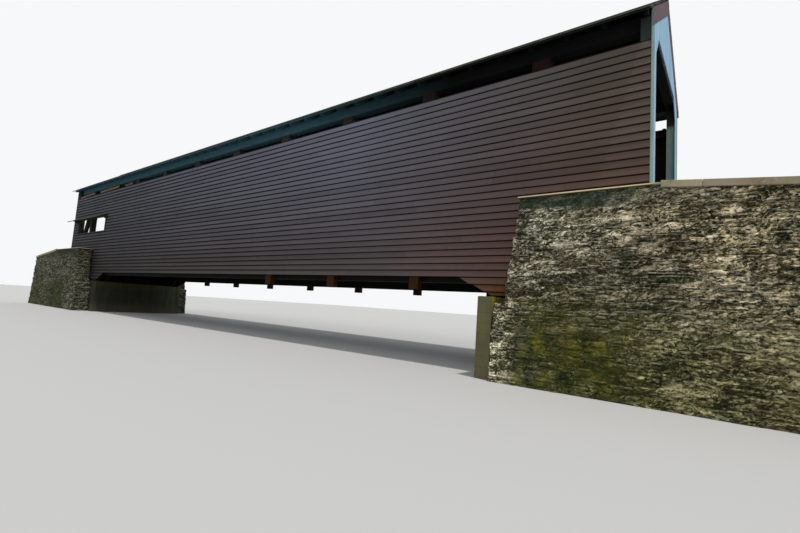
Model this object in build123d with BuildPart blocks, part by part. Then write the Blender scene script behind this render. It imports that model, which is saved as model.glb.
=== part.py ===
from build123d import *
from math import asin, atan, cos, radians, sin, sqrt
import os

# A one-lane timber covered bridge: two arched trusses under a gable roof, on stone abutments.
# X runs along the bridge, Y across it, Z up from the foot of the masonry. Millimetres.
# Front is the -Y side, back the +Y side, right the +X end and left the -X end.

# Main sizes of the timber house
timber_length = 30830        # over both portals
outer_width = 4560           # over the side boards
course = 160                 # height of one side board that shows
course_count = 28            # side boards from bottom to top
siding_bottom = 2100         # bottom edge of the side boards over the river
siding_thickness = 40
flare_drop = 400             # how far the boards drop over the bearings
flare_run = 900              # length of the slanted lower edge
roof_pitch = 34.6            # degrees
eave_height = 7180           # underside of the roof at the outer face of the boards
eave_overhang = 300
gable_overhang = 5
roof_thickness = 60          # upright thickness of boarding and shingles
ridge_cap_width = 170
ridge_cap_thickness = 32

# Truss
panel_count = 9              # spaces between posts
end_panel = 2167             # from the portal to the first post
post_depth = 250             # across the bridge
post_inset = 200             # from the outside of the boards to the post
shaft_width = 260            # along the bridge
block_width = 380            # widened foot and head of a post
foot_top = 2650              # top of the widened foot
head_height = 420            # height of the widened head
shoulder = 110               # slope between shaft and widened end
tail_width = 280             # blocks under the posts' feet, outside the lower chord
tail_drop = 310              # how far they hang below the side boards
tail_rise = 25               # how far they reach up behind the boards
front_tail_count = 3         # kept, from the right; the others are missing
back_tail_count = 7
chord_sink = 130             # underside of the lower chord below the side boards
chord_depth = 340
chord_leaf = 95              # thickness of one leaf of the lower chord
upper_chord_rise = 10        # top of the upper chord above the eave height
upper_chord_depth = 290
brace_depth = 180            # in the plane of the truss
brace_thickness = 180        # across the bridge
brace_foot = 190             # middle of a brace's foot above the lower chord
brace_head = 210             # middle of a brace's head below the upper chord
end_brace_rise = 60          # extra height kept at the ends of the steep end braces
corner_post_width = 185
arch_thickness = 100
arch_depth = 300
crown_drop = 1030            # top of the arch at midspan below the eave height
arch_clearance = 8
arch_foot_inset = 30         # from the river face of the bearing to the arch's foot

# Floor
deck_top = 2700
deck_thickness = 60
joist_depth = 140
joist_width = 120
joist_inset = 65             # from the deck's edge to the outermost joist
joist_count = 6
beam_width = 220
beam_clearance = 5
end_beam_inset = 700         # from the portal to the last floor beam
deck_clearance = 5           # from the deck's edge to the arch

# Frame that carries the side boards
stud_width = 80
stud_depth = 60
stud_count = 42
stud_end_inset = 300
rail_height = 120
rail_bottoms = (2130, 4100, 6300)

# Roof frame
tie_height = 220
tie_width = 200
tie_gap = 10                 # from the underside of the upper chord to that of the tie beam
knee_drop = 700              # how far a knee brace reaches down its post
knee_depth = 150
knee_width = 120
rafter_width = 60
rafter_depth = 158           # upright
rafter_count = 43
rafter_end_inset = 90
rafter_tail_inset = 120      # from the roof's edge to the end of the rafters

# Portals
portal_thickness = 20
portal_bottom = 2150
jamb_width = 520             # boarding beside the roadway
door_head = 140              # top of the opening below the eave height
door_corner_width = 370
door_corner_height = 500
rake_board_depth = 360       # upright depth of the boards under the roof's slopes
rake_board_proud = 5

# Long window near the left portal, in both sides
window_start = 900           # from the left portal to the window
window_length = 4150
window_sill_course = 14
window_height = 880
frame_bar = 50
frame_proud = 20
hood_start = 60              # from the left portal to the hood
hood_length = 5140
hood_reach = 380
hood_rise = 190
hood_thickness = 40
hood_gap = 50                # from the window head to the hood's underside
bracket_width = 45
bracket_drop = 270
bracket_reach = 300
bracket_past = 60            # bracket's distance outside the window
small_gap = 0.3              # clearance between fitted pieces

# Masonry
right_bearing = 3000         # from the right portal to the river face of its abutment
left_bearing = 4700
seat_drop = 450              # top of the bridge seat below the side boards
facing_thickness = 320       # poured concrete in front of the seat
facing_end_inset = 40        # right facing's end inside the wing's outer face
facing_chamfer = 15
portal_gap = 20              # from portal boards to the backwall
backwall_thickness = 600
wing_inset = 20              # from the side boards to the inside of the wing walls
wing_thickness = 620         # at the top
wing_reach = 4200            # beyond the portals
right_wing_top = 1530        # top of the coping above the bottom of the side boards
left_wing_top = 1300
wing_batter = 240            # lean of the river end above the step
side_batter = 120            # lean of the outer face
step_height = 1530           # of the footing at the river end
step_width = 200
step_batter = 40
right_wing_setback = 830     # from the river face to the top of the wing's river end
left_wing_setback = 1000
wing_grade = 0.09            # fall of the wing's top beyond the portal
coping_thin = 35             # along the bridge
coping_thick = 115           # beyond the portal
slab_start = 230             # from the portal to the first thick slab
slab_rise = 30               # top of the thick slabs above the thin coping
coping_overhang = 30
bed_width = 160
bed_clearance = 8
middle_bed_right = 1650      # from the portal
middle_bed_left = 3000
end_bed = 600

# Derived places
half_length = timber_length / 2
frame_end = half_length - portal_thickness
half_width = outer_width / 2
slope = sin(radians(roof_pitch)) / cos(radians(roof_pitch))
siding_top = siding_bottom + course_count * course
siding_inner = half_width - siding_thickness
ridge_underside = eave_height + slope * half_width
post_outer = half_width - post_inset
post_inner = post_outer - post_depth
post_middle = (post_outer + post_inner) / 2
chord_bottom = siding_bottom - chord_sink
chord_top = chord_bottom + chord_depth
upper_chord_top = eave_height + upper_chord_rise
upper_chord_bottom = upper_chord_top - upper_chord_depth
arch_crown = eave_height - crown_drop
door_top = eave_height - door_head
half_door = half_width - jamb_width
beam_top = deck_top - deck_thickness - joist_depth
seat_top = siding_bottom - seat_drop
right_face = half_length - right_bearing
left_face = -half_length + left_bearing
panel = (timber_length - 2 * end_panel) / panel_count
post_places = [panel * (number - panel_count / 2) for number in range(panel_count + 1)]
corner_inner = frame_end - corner_post_width
window_left = -half_length + window_start
window_right = window_left + window_length
window_bottom = siding_bottom + window_sill_course * course
window_top = window_bottom + window_height
wing_inner = half_width + wing_inset
wing_outer = wing_inner + wing_thickness
deck_half = post_inner - arch_thickness - deck_clearance
far_reach = 100000           # larger than the bridge, for cutting profiles

# Circle of the arch: through the middle of both feet on the seats and the crown
arch_middle_height = arch_crown - arch_depth / 2
first_radius = ((right_face - left_face) ** 2 / 4 + (arch_middle_height - seat_top) ** 2) / (
    2 * (arch_middle_height - seat_top)
)
foot_angle = asin((right_face - left_face) / 2 / first_radius)
foot_half = arch_depth / 2 / sin(foot_angle)
arch_left = left_face - arch_foot_inset - foot_half
arch_right = right_face + arch_foot_inset + foot_half
arch_place = (arch_left + arch_right) / 2
arch_half_span = (arch_right - arch_left) / 2
arch_rise = arch_middle_height - seat_top
arch_radius = (arch_half_span**2 + arch_rise**2) / (2 * arch_rise)
arch_centre = arch_middle_height - arch_radius

sides = (("front", -1), ("back", 1))
ends = (("right", 1), ("left", -1))


def keep(builder, name):
    """Name the finished piece and write it."""
    builder.part.label = name
    export_step(builder.part, f"parts/{name}.step")


def side_plane(side, inner, outer):
    """Plane for a profile in X and Z, at the +Y face of a piece between two distances from the middle."""
    return Plane.XZ.offset(-max(side * inner, side * outer))


def end_plane(place):
    """Plane for a profile in Y and Z at a place along the bridge."""
    return Plane.YZ.offset(place)


def draw_block(low_x, high_x, low_z, high_z, mode=Mode.ADD):
    """Rectangle between two places and two heights."""
    with Locations(((low_x + high_x) / 2, (low_z + high_z) / 2)):
        Rectangle(high_x - low_x, high_z - low_z, mode=mode)


def draw_outline(points, mode=Mode.ADD):
    """Straight-sided outline through the points."""
    with BuildLine() as outline:
        Polyline(*points, close=True)
    make_face(outline.edges(), mode=mode)


def draw_arch(margin=0, mode=Mode.ADD):
    """Band of the arch from seat to seat."""
    with BuildSketch(mode=Mode.PRIVATE) as band:
        with Locations((arch_place, arch_centre)):
            Circle(arch_radius + arch_depth / 2 + margin)
            Circle(arch_radius - arch_depth / 2 - margin, mode=Mode.SUBTRACT)
        draw_block(-far_reach, far_reach, seat_top - margin, far_reach, mode=Mode.INTERSECT)
    add(band.sketch_local, mode=mode)


def build_abutment(end, name):
    """Bridge seat and the backwall behind it, one mass of masonry."""
    face = (right_face if end > 0 else left_face) + end * facing_thickness
    back = end * (half_length + portal_gap)
    behind = back + end * backwall_thickness
    with BuildPart() as abutment:
        with BuildSketch(side_plane(1, -wing_inner, wing_inner)):
            draw_outline(
                [
                    (face, 0),
                    (face, seat_top),
                    (back, seat_top),
                    (back, deck_top),
                    (behind, deck_top),
                    (behind, 0),
                ]
            )
        extrude(amount=2 * wing_inner)
    keep(abutment, name)


def build_facing(end, half, name):
    """Concrete cast against the river face of the seat."""
    face = right_face if end > 0 else left_face
    low, high = sorted((face, face + end * facing_thickness))
    with BuildPart() as facing:
        with BuildSketch(side_plane(1, -half, half)):
            draw_block(low, high, 0, seat_top)
        extrude(amount=2 * half)
        top_edges = facing.edges().group_by(Axis.Z)[-1].filter_by(Axis.Y).sort_by(Axis.X)
        chamfer(top_edges[0 if end > 0 else -1], facing_chamfer)
    keep(facing, name)


def wing_heights(end):
    """Top of the thin coping, and of the wall under the thin coping and under the thick slabs."""
    top = siding_bottom + (right_wing_top if end > 0 else left_wing_top)
    return top, top - coping_thin, top + slab_rise - coping_thick


def wing_places(end):
    """A wing wall's river end at its top, the start of its thick slabs, and its far end."""
    face = right_face if end > 0 else left_face
    setback = right_wing_setback if end > 0 else left_wing_setback
    portal = end * half_length
    return face + end * setback, portal + end * slab_start, portal + end * wing_reach


def build_wing(end, side, name):
    """Rubble wing wall beside the seat and on along the approach, its top falling beyond the portal."""
    top, slabs, last = wing_places(end)
    coping_top, thin_bottom, slab_bottom = wing_heights(end)
    step_in = top - end * wing_batter
    step_out = step_in - end * step_width
    foot = step_out - end * step_batter
    fall = wing_grade * abs(last - slabs)
    outer_foot = wing_outer + side_batter
    with BuildPart() as wing:
        with BuildSketch(side_plane(side, wing_inner, outer_foot)):
            draw_outline(
                [
                    (foot, 0),
                    (step_out, step_height),
                    (step_in, step_height),
                    (top, thin_bottom),
                    (slabs, thin_bottom),
                    (slabs, slab_bottom),
                    (last, slab_bottom - fall),
                    (last, 0),
                ]
            )
        extrude(amount=outer_foot - wing_inner)
        with BuildSketch(end_plane(min(foot, last))):
            draw_outline(
                [
                    (side * wing_inner, 0),
                    (side * outer_foot, 0),
                    (side * wing_outer, coping_top),
                    (side * wing_inner, coping_top),
                ]
            )
        extrude(amount=abs(last - foot), mode=Mode.INTERSECT)
    keep(wing, name)


def build_coping(end, side, name):
    """Thin coping along the bridge and thick slabs beyond the portal."""
    top, slabs, last = wing_places(end)
    coping_top, thin_bottom, slab_bottom = wing_heights(end)
    slab_top = slab_bottom + coping_thick
    start = top - end * coping_overhang
    fall = wing_grade * abs(last - slabs)
    low = wing_inner + small_gap
    high = wing_outer + coping_overhang
    with BuildPart() as coping:
        with BuildSketch(side_plane(side, low, high)):
            draw_block(*sorted((start, slabs)), thin_bottom, coping_top)
            draw_outline(
                [
                    (slabs, slab_bottom),
                    (slabs, slab_top),
                    (last, slab_top - fall),
                    (last, slab_bottom - fall),
                ]
            )
        extrude(amount=high - low)
    keep(coping, name)


def build_bed_timbers():
    """Cross timbers on the seats that carry the chords."""
    bed_from_foot = foot_half + bed_clearance + bed_width / 2
    places = [
        arch_right + bed_from_foot,
        half_length - middle_bed_right,
        half_length - end_bed,
        arch_left - bed_from_foot,
        -half_length + middle_bed_left,
        -half_length + end_bed,
    ]
    with BuildPart() as beds:
        with BuildSketch(side_plane(1, -post_outer, post_outer)):
            for place in places:
                draw_block(place - bed_width / 2, place + bed_width / 2, seat_top, chord_bottom)
        extrude(amount=2 * post_outer)
    keep(beds, "bed_timbers")


def build_lower_chord(side, name):
    """Two leaves that clasp the posts."""
    with BuildPart() as chord:
        for inner in (post_inner, post_outer - chord_leaf):
            with BuildSketch(side_plane(side, inner, inner + chord_leaf)):
                draw_block(-frame_end, frame_end, chord_bottom, chord_top)
            extrude(amount=chord_leaf)
    keep(chord, name)


def build_upper_chord(side, name):
    with BuildPart() as chord:
        with BuildSketch(side_plane(side, post_inner, post_outer)):
            draw_block(-frame_end, frame_end, upper_chord_bottom, upper_chord_top)
        extrude(amount=post_depth)
    keep(chord, name)


def draw_post(place):
    """Side view of a truss post with its widened foot and head."""
    wide = block_width / 2
    slim = shaft_width / 2
    head_bottom = upper_chord_bottom - head_height
    half = [
        (wide, chord_bottom),
        (wide, foot_top),
        (slim, foot_top + shoulder),
        (slim, head_bottom - shoulder),
        (wide, head_bottom),
        (wide, upper_chord_bottom),
    ]
    right = [(place + x, z) for x, z in half]
    left = [(place - x, z) for x, z in reversed(half)]
    draw_outline(right + left)


def build_posts(side, name):
    """Truss posts notched for the leaves of the lower chord, and blocks below that hang outside it."""
    tail_count = back_tail_count if side > 0 else front_tail_count
    tail_places = [place for place in post_places if place < right_face][-tail_count:]
    with BuildPart() as posts:
        with BuildSketch(side_plane(side, post_inner, post_outer)):
            for place in post_places:
                draw_post(place)
        extrude(amount=post_depth)
        for inner in (post_inner, post_outer - chord_leaf):
            with BuildSketch(side_plane(side, inner, inner + chord_leaf)):
                draw_block(-half_length, half_length, chord_bottom, chord_top)
            extrude(amount=chord_leaf, mode=Mode.SUBTRACT)
        with BuildSketch(side_plane(side, post_outer, siding_inner - small_gap)):
            for place in tail_places:
                low = siding_bottom - tail_drop
                high = siding_bottom + tail_rise
                draw_block(place - tail_width / 2, place + tail_width / 2, low, high)
        extrude(amount=siding_inner - small_gap - post_outer)
    keep(posts, name)


def build_corner_posts(side, name):
    """Posts behind the portals, with a cheek that closes the end of the open strip under the eave."""
    rafter_bottom = ridge_underside - slope * siding_inner - rafter_depth
    with BuildPart() as posts:
        for end in (1, -1):
            low, high = sorted((end * corner_inner, end * frame_end))
            with BuildSketch(end_plane(low)):
                draw_outline(
                    [
                        (side * post_inner, chord_top),
                        (side * siding_inner, chord_top),
                        (side * siding_inner, rafter_bottom - small_gap),
                        (side * (post_outer + small_gap), rafter_bottom - small_gap),
                        (side * (post_outer + small_gap), upper_chord_bottom),
                        (side * post_inner, upper_chord_bottom),
                    ]
                )
            extrude(amount=high - low)
    keep(posts, name)


def draw_brace(start, end, start_height, end_height, margin=0, mode=Mode.ADD):
    """Brace with upright ends that bear on the sides of the posts."""
    lean = atan(abs(end_height - start_height) / abs(end - start))
    half = (brace_depth / 2 + margin) / cos(lean)
    draw_outline(
        [
            (start, start_height - half),
            (start, start_height + half),
            (end, end_height + half),
            (end, end_height - half),
        ],
        mode=mode,
    )


def build_braces(side, name):
    """Braces that rise towards midspan, none across the window, and a crossed pair in the middle panel."""
    inner = post_middle - brace_thickness / 2
    outer = post_middle + brace_thickness / 2
    low = chord_top + brace_foot
    high = upper_chord_bottom - brace_head
    wide = block_width / 2
    right_posts = [place for place in post_places if place > 0]
    cross = right_posts[0] - wide
    end_low = low + end_brace_rise
    end_high = high - end_brace_rise
    with BuildPart() as braces:
        with BuildSketch(side_plane(side, inner, outer)):
            draw_brace(-cross, cross, low, high)
            draw_brace(cross, -cross, low, high, margin=small_gap, mode=Mode.SUBTRACT)
            draw_brace(cross, -cross, low, high)
            for near, far in zip(right_posts, right_posts[1:]):
                for end in (1, -1):
                    if end * far > window_right:
                        draw_brace(end * (far - wide), end * (near + wide), low, high)
            for end in (1, -1):
                draw_brace(end * corner_inner, end * (right_posts[-1] + wide), end_low, end_high)
        extrude(amount=brace_thickness)
    keep(braces, name)


def build_arches(side, name):
    """Two leaves of one arch, bolted to the inner and outer faces of the posts."""
    with BuildPart() as arches:
        for inner in (post_inner - arch_thickness, post_outer):
            with BuildSketch(side_plane(side, inner, inner + arch_thickness)):
                draw_arch()
            extrude(amount=arch_thickness)
    keep(arches, name)


def build_floor_beams():
    """Cross beams on the lower chords, outside each post and at mid-panel, cut back from the arches."""
    beside_post = block_width / 2 + beam_width / 2 + beam_clearance
    places = [place + (beside_post if place > 0 else -beside_post) for place in post_places]
    places += [panel * number for number in range(1 - panel_count // 2, panel_count // 2)]
    places += [-half_length + end_beam_inset, half_length - end_beam_inset]
    with BuildPart() as beams:
        with BuildSketch(side_plane(1, -post_outer, post_outer)):
            for place in places:
                draw_block(place - beam_width / 2, place + beam_width / 2, chord_top, beam_top)
        extrude(amount=2 * post_outer)
        for side in (-1, 1):
            with BuildSketch(side_plane(side, post_inner - arch_thickness, post_inner)):
                draw_arch(arch_clearance)
            extrude(amount=arch_thickness, mode=Mode.SUBTRACT)
    keep(beams, "floor_beams")


def build_floor_joists():
    pitch = 2 * (deck_half - joist_inset - joist_width / 2) / (joist_count - 1)
    with BuildPart() as joists:
        with BuildSketch(end_plane(-half_length)):
            with Locations((0, beam_top + joist_depth / 2)):
                with GridLocations(pitch, joist_depth, joist_count, 1):
                    Rectangle(joist_width, joist_depth)
        extrude(amount=timber_length)
    keep(joists, "floor_joists")


def build_deck():
    with BuildPart() as deck:
        with BuildSketch(end_plane(-half_length)):
            draw_block(-deck_half, deck_half, deck_top - deck_thickness, deck_top)
        extrude(amount=timber_length)
    keep(deck, "deck")


def build_wall_frame(side, name):
    """Studs and rails behind the side boards, cut round the arch and the window."""
    inner = post_outer
    middle = siding_inner - stud_depth
    stud_pitch = (timber_length - 2 * stud_end_inset) / (stud_count - 1)
    frame_half = corner_inner - small_gap
    with BuildPart() as frame:
        with BuildSketch(side_plane(side, middle, siding_inner)):
            for number in range(stud_count):
                place = -half_length + stud_end_inset + number * stud_pitch
                draw_block(place - stud_width / 2, place + stud_width / 2, rail_bottoms[0], siding_top)
            draw_block(-frame_half, frame_half, rail_bottoms[0], siding_top, mode=Mode.INTERSECT)
        extrude(amount=stud_depth)
        with BuildSketch(side_plane(side, inner, middle - small_gap)):
            for bottom in rail_bottoms:
                draw_block(-frame_half, frame_half, bottom, bottom + rail_height)
            draw_arch(arch_clearance, mode=Mode.SUBTRACT)
        extrude(amount=middle - small_gap - inner)
        with BuildSketch(side_plane(side, inner, siding_inner)):
            draw_block(window_left, window_right, window_bottom, window_top)
        extrude(amount=siding_inner - inner, mode=Mode.SUBTRACT)
    keep(frame, name)


def build_siding(side, name):
    """Side boards as one sheet, dropped over the bearings, with the long window cut through."""
    low = siding_bottom - flare_drop
    with BuildPart() as siding:
        with BuildSketch(side_plane(side, siding_inner, half_width)):
            draw_outline(
                [
                    (-frame_end, low),
                    (left_face, low),
                    (left_face + flare_run, siding_bottom),
                    (right_face - flare_run, siding_bottom),
                    (right_face, low),
                    (frame_end, low),
                    (frame_end, siding_top),
                    (-frame_end, siding_top),
                ]
            )
            draw_block(window_left, window_right, window_bottom, window_top, mode=Mode.SUBTRACT)
        extrude(amount=siding_thickness)
    keep(siding, name)


def build_window_frame(side, name):
    inner = siding_inner - stud_depth
    outer = half_width + frame_proud
    with BuildPart() as frame:
        with BuildSketch(side_plane(side, inner, outer)):
            draw_block(window_left, window_right, window_bottom, window_top)
            draw_block(
                window_left + frame_bar,
                window_right - frame_bar,
                window_bottom + frame_bar,
                window_top - frame_bar,
                mode=Mode.SUBTRACT,
            )
        extrude(amount=outer - inner)
    keep(frame, name)


def build_hood(side, name):
    """Small lean-to roof over the window on two brackets."""
    start = -half_length + hood_start
    wall_low = window_top + hood_gap
    edge_low = wall_low - hood_rise
    fall = hood_rise / hood_reach
    with BuildPart() as hood:
        with BuildSketch(end_plane(start)):
            draw_outline(
                [
                    (side * half_width, wall_low),
                    (side * half_width, wall_low + hood_thickness),
                    (side * (half_width + hood_reach), edge_low + hood_thickness),
                    (side * (half_width + hood_reach), edge_low),
                ]
            )
        extrude(amount=hood_length)
        top = wall_low - small_gap
        for place in (window_left - bracket_past - bracket_width, window_right + bracket_past):
            with BuildSketch(end_plane(place)):
                draw_outline(
                    [
                        (side * half_width, top - bracket_drop),
                        (side * half_width, top),
                        (side * (half_width + bracket_reach), top - fall * bracket_reach),
                    ]
                )
            extrude(amount=bracket_width)
    keep(hood, name)


def build_tie_beams():
    """Cross beams between the upper chords at every post."""
    low = upper_chord_bottom + tie_gap
    end_place = frame_end - tie_width / 2
    with BuildPart() as ties:
        with BuildSketch(side_plane(1, -post_inner, post_inner)):
            for place in post_places + [-end_place, end_place]:
                draw_block(place - tie_width / 2, place + tie_width / 2, low, low + tie_height)
        extrude(amount=2 * post_inner)
    keep(ties, "tie_beams")


def build_knee_braces():
    """Short braces between posts and tie beams."""
    top = upper_chord_bottom + tie_gap
    cut = knee_depth * sqrt(2)
    foot = top - knee_drop
    with BuildPart() as knees:
        for place in post_places:
            with BuildSketch(end_plane(place - knee_width / 2)):
                for side in (-1, 1):
                    draw_outline(
                        [
                            (side * post_inner, foot),
                            (side * post_inner, foot + cut),
                            (side * (post_inner - knee_drop + cut), top),
                            (side * (post_inner - knee_drop), top),
                        ]
                    )
            extrude(amount=knee_width)
    keep(knees, "knee_braces")


def build_rafters(side, name):
    """Rafters notched over the upper chord."""
    reach = half_width + eave_overhang - rafter_tail_inset
    pitch = (timber_length - 2 * rafter_end_inset) / (rafter_count - 1)
    with BuildPart() as rafters:
        for number in range(rafter_count):
            place = -half_length + rafter_end_inset + number * pitch
            with BuildSketch(end_plane(place - rafter_width / 2)):
                draw_outline(
                    [
                        (0, ridge_underside),
                        (side * reach, ridge_underside - slope * reach),
                        (side * reach, ridge_underside - slope * reach - rafter_depth / 2),
                        (side * siding_inner, ridge_underside - slope * siding_inner - rafter_depth),
                        (0, ridge_underside - rafter_depth),
                    ]
                )
                low, high = sorted((side * post_inner, side * post_outer))
                draw_block(low, high, upper_chord_bottom, upper_chord_top, mode=Mode.SUBTRACT)
            extrude(amount=rafter_width)
    keep(rafters, name)


def build_roof(side, name):
    """One slope of the roof, boarding and shingles together."""
    reach = half_width + eave_overhang
    start = -half_length - gable_overhang
    with BuildPart() as roof:
        with BuildSketch(end_plane(start)):
            draw_outline(
                [
                    (0, ridge_underside),
                    (side * reach, ridge_underside - slope * reach),
                    (side * reach, ridge_underside - slope * reach + roof_thickness),
                    (0, ridge_underside + roof_thickness),
                ]
            )
        extrude(amount=timber_length + 2 * gable_overhang)
    keep(roof, name)


def build_ridge_cap():
    top = ridge_underside + roof_thickness
    edge = top - slope * ridge_cap_width
    with BuildPart() as cap:
        with BuildSketch(end_plane(-half_length - gable_overhang)):
            draw_outline(
                [
                    (-ridge_cap_width, edge),
                    (0, top),
                    (ridge_cap_width, edge),
                    (ridge_cap_width, edge + ridge_cap_thickness),
                    (0, top + ridge_cap_thickness),
                    (-ridge_cap_width, edge + ridge_cap_thickness),
                ]
            )
        extrude(amount=timber_length + 2 * gable_overhang)
    keep(cap, "ridge_cap")


def build_portal(end, name):
    """Boarded gable end round the roadway opening, with rake boards under the roof."""
    low, high = sorted((end * frame_end, end * half_length))
    with BuildPart() as portal:
        with BuildSketch(end_plane(low)):
            draw_outline(
                [
                    (-half_width, portal_bottom),
                    (-half_door, portal_bottom),
                    (-half_door, door_top - door_corner_height),
                    (-half_door + door_corner_width, door_top),
                    (half_door - door_corner_width, door_top),
                    (half_door, door_top - door_corner_height),
                    (half_door, portal_bottom),
                    (half_width, portal_bottom),
                    (half_width, eave_height),
                    (0, ridge_underside),
                    (-half_width, eave_height),
                ]
            )
        extrude(amount=high - low)
        low, high = sorted((end * half_length, end * (half_length + rake_board_proud)))
        with BuildSketch(end_plane(low)):
            draw_outline(
                [
                    (-half_width, eave_height),
                    (0, ridge_underside),
                    (half_width, eave_height),
                    (half_width, eave_height - rake_board_depth),
                    (0, ridge_underside - rake_board_depth),
                    (-half_width, eave_height - rake_board_depth),
                ]
            )
        extrude(amount=high - low)
    keep(portal, name)


os.makedirs("parts", exist_ok=True)

for end_name, end in ends:
    build_abutment(end, f"{end_name}_abutment")
    build_portal(end, f"{end_name}_portal")
    for side_name, side in sides:
        build_wing(end, side, f"{end_name}_{side_name}_wing")
        build_coping(end, side, f"{end_name}_{side_name}_coping")
build_facing(1, wing_outer - facing_end_inset, "right_facing")
build_facing(-1, wing_inner, "left_facing")
build_bed_timbers()

for side_name, side in sides:
    build_lower_chord(side, f"{side_name}_lower_chord")
    build_upper_chord(side, f"{side_name}_upper_chord")
    build_posts(side, f"{side_name}_posts")
    build_corner_posts(side, f"{side_name}_corner_posts")
    build_braces(side, f"{side_name}_braces")
    build_arches(side, f"{side_name}_arches")
    build_wall_frame(side, f"{side_name}_wall_frame")
    build_siding(side, f"{side_name}_siding")
    build_window_frame(side, f"{side_name}_window_frame")
    build_hood(side, f"{side_name}_hood")
    build_rafters(side, f"{side_name}_rafters")
    build_roof(side, f"{side_name}_roof")

build_floor_beams()
build_floor_joists()
build_deck()
build_tie_beams()
build_knee_braces()
build_ridge_cap()
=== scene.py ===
import bmesh
import bpy
import math
import numpy as np
from mathutils import Matrix, Vector


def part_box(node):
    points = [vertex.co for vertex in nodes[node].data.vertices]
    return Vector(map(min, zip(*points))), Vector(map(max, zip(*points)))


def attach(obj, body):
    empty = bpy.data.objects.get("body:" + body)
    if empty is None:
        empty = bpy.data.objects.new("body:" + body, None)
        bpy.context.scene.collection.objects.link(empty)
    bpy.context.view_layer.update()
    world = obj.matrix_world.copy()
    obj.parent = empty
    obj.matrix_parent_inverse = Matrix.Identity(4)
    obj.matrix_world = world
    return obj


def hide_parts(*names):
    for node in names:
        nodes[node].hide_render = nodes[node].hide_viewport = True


# A timber covered bridge on rubble stone abutments. Metres, X along the bridge, Z up.
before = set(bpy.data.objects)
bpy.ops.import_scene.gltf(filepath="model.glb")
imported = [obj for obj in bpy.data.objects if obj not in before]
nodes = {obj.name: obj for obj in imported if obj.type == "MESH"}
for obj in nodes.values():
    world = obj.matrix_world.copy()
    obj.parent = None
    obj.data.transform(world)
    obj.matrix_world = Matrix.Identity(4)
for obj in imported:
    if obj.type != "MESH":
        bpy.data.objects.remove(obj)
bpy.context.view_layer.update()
rng = np.random.default_rng(1871)

# Sizes read from the frame
siding_low, siding_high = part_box("front_siding")
roof_low, roof_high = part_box("front_roof")
deck_low, deck_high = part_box("deck")
window_low, window_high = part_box("front_window_frame")
portal_low, portal_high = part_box("right_portal")
half_length = deck_high[0]
half_width = -siding_low[1]
wall_end = siding_high[0]
siding_top = siding_high[2]
ridge_height = portal_high[2]
right_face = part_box("right_facing")[0][0]
left_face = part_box("left_facing")[1][0]

# Sizes that the frame's boxes don't give
course = 0.160               # side board to the weather
course_count = 28
siding_bottom = siding_top - course * course_count
flare_drop = siding_bottom - siding_low[2]
flare_run = 0.900
board_lap = 0.024            # hidden under the next board
board_butt = 0.028           # thickness of a side board's lower edge
board_tip = 0.007
board_gap = 0.0015           # half the gap between two boards in a course
stud_count = 42
stud_inset = 0.300
stud_pitch = 2 * (half_length - stud_inset) / (stud_count - 1)
roof_angle = math.radians(34.6)
slope = math.tan(roof_angle)
eave_height = ridge_height - slope * half_width
door_half = half_width - 0.520
door_top = eave_height - 0.140
door_corner = (0.370, 0.500)
rake_depth = 0.360
roof_board = 0.022           # thickness of the boards under the shingles
wing_thickness = 0.620
wing_inner = half_width + 0.020
wing_outer = wing_inner + wing_thickness
wing_lean = 0.120
step_height = 1.530          # ledge at the wings' river end
coping_tops = {1: siding_bottom + 1.530, -1: siding_bottom + 1.300}
coping_thin = 0.035          # beside the timber house
coping_thick = 0.115         # beyond the portal
slab_start = 0.230
slab_rise = 0.030
wing_grade = 0.09            # fall of the coping beyond the portal

sides = (("front", -1), ("back", 1))
ends = (("right", 1), ("left", -1))


class Soup:
    """Vertices, faces and one tone for each vertex of a mesh being collected."""

    def __init__(self):
        self.points = []
        self.faces = []
        self.tones = []

    def loft(self, rings, tone):
        """Closed solid through outlines with the same number of points."""
        start = len(self.points)
        count = len(rings[0])
        last = start + (len(rings) - 1) * count
        for ring in rings:
            self.points += ring
            self.tones += [tone] * count
        self.faces.append(tuple(start + i for i in reversed(range(count))))
        self.faces.append(tuple(last + i for i in range(count)))
        for near in range(start, last, count):
            far = near + count
            for i in range(count):
                j = (i + 1) % count
                self.faces.append((near + i, near + j, far + j, far + i))

    def prism(self, ring, start, stop, tone):
        """Solid along the bridge between two places, from an outline in Y and Z."""
        self.loft([[(x, y, z) for y, z in ring] for x in (start, stop)], tone)

    def block(self, low, high, tone):
        """Axis-aligned box."""
        x0, y0, z0 = low
        x1, y1, z1 = high
        self.prism([(y0, z0), (y1, z0), (y1, z1), (y0, z1)], x0, x1, tone)

    def piece(self, name, material, replaced=()):
        """Blender object on the bridge's one body."""
        mesh = bpy.data.meshes.new(name)
        mesh.from_pydata(self.points, [], self.faces)
        add_field(mesh, "tone", self.tones)
        finish_piece(mesh, name, material, replaced)


def add_field(mesh, label, values):
    """One number for each vertex, which the materials read."""
    layer = mesh.attributes.new(label, "FLOAT", "POINT")
    layer.data.foreach_set("value", np.array(values, dtype=np.float32).reshape(-1))


def add_object(name, data):
    thing = bpy.data.objects.new(name, data)
    bpy.context.scene.collection.objects.link(thing)
    return thing


def finish_piece(mesh, name, material, replaced=()):
    """Consistent normals, material and place in the frame for a new mesh."""
    work = bmesh.new()
    work.from_mesh(mesh)
    bmesh.ops.recalc_face_normals(work, faces=work.faces)
    work.to_mesh(mesh)
    work.free()
    mesh.polygons.foreach_set("use_smooth", [False] * len(mesh.polygons))
    mesh.materials.append(material)
    thing = add_object(name, mesh)
    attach(thing, "root")
    if replaced:
        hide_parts(*replaced)


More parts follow.
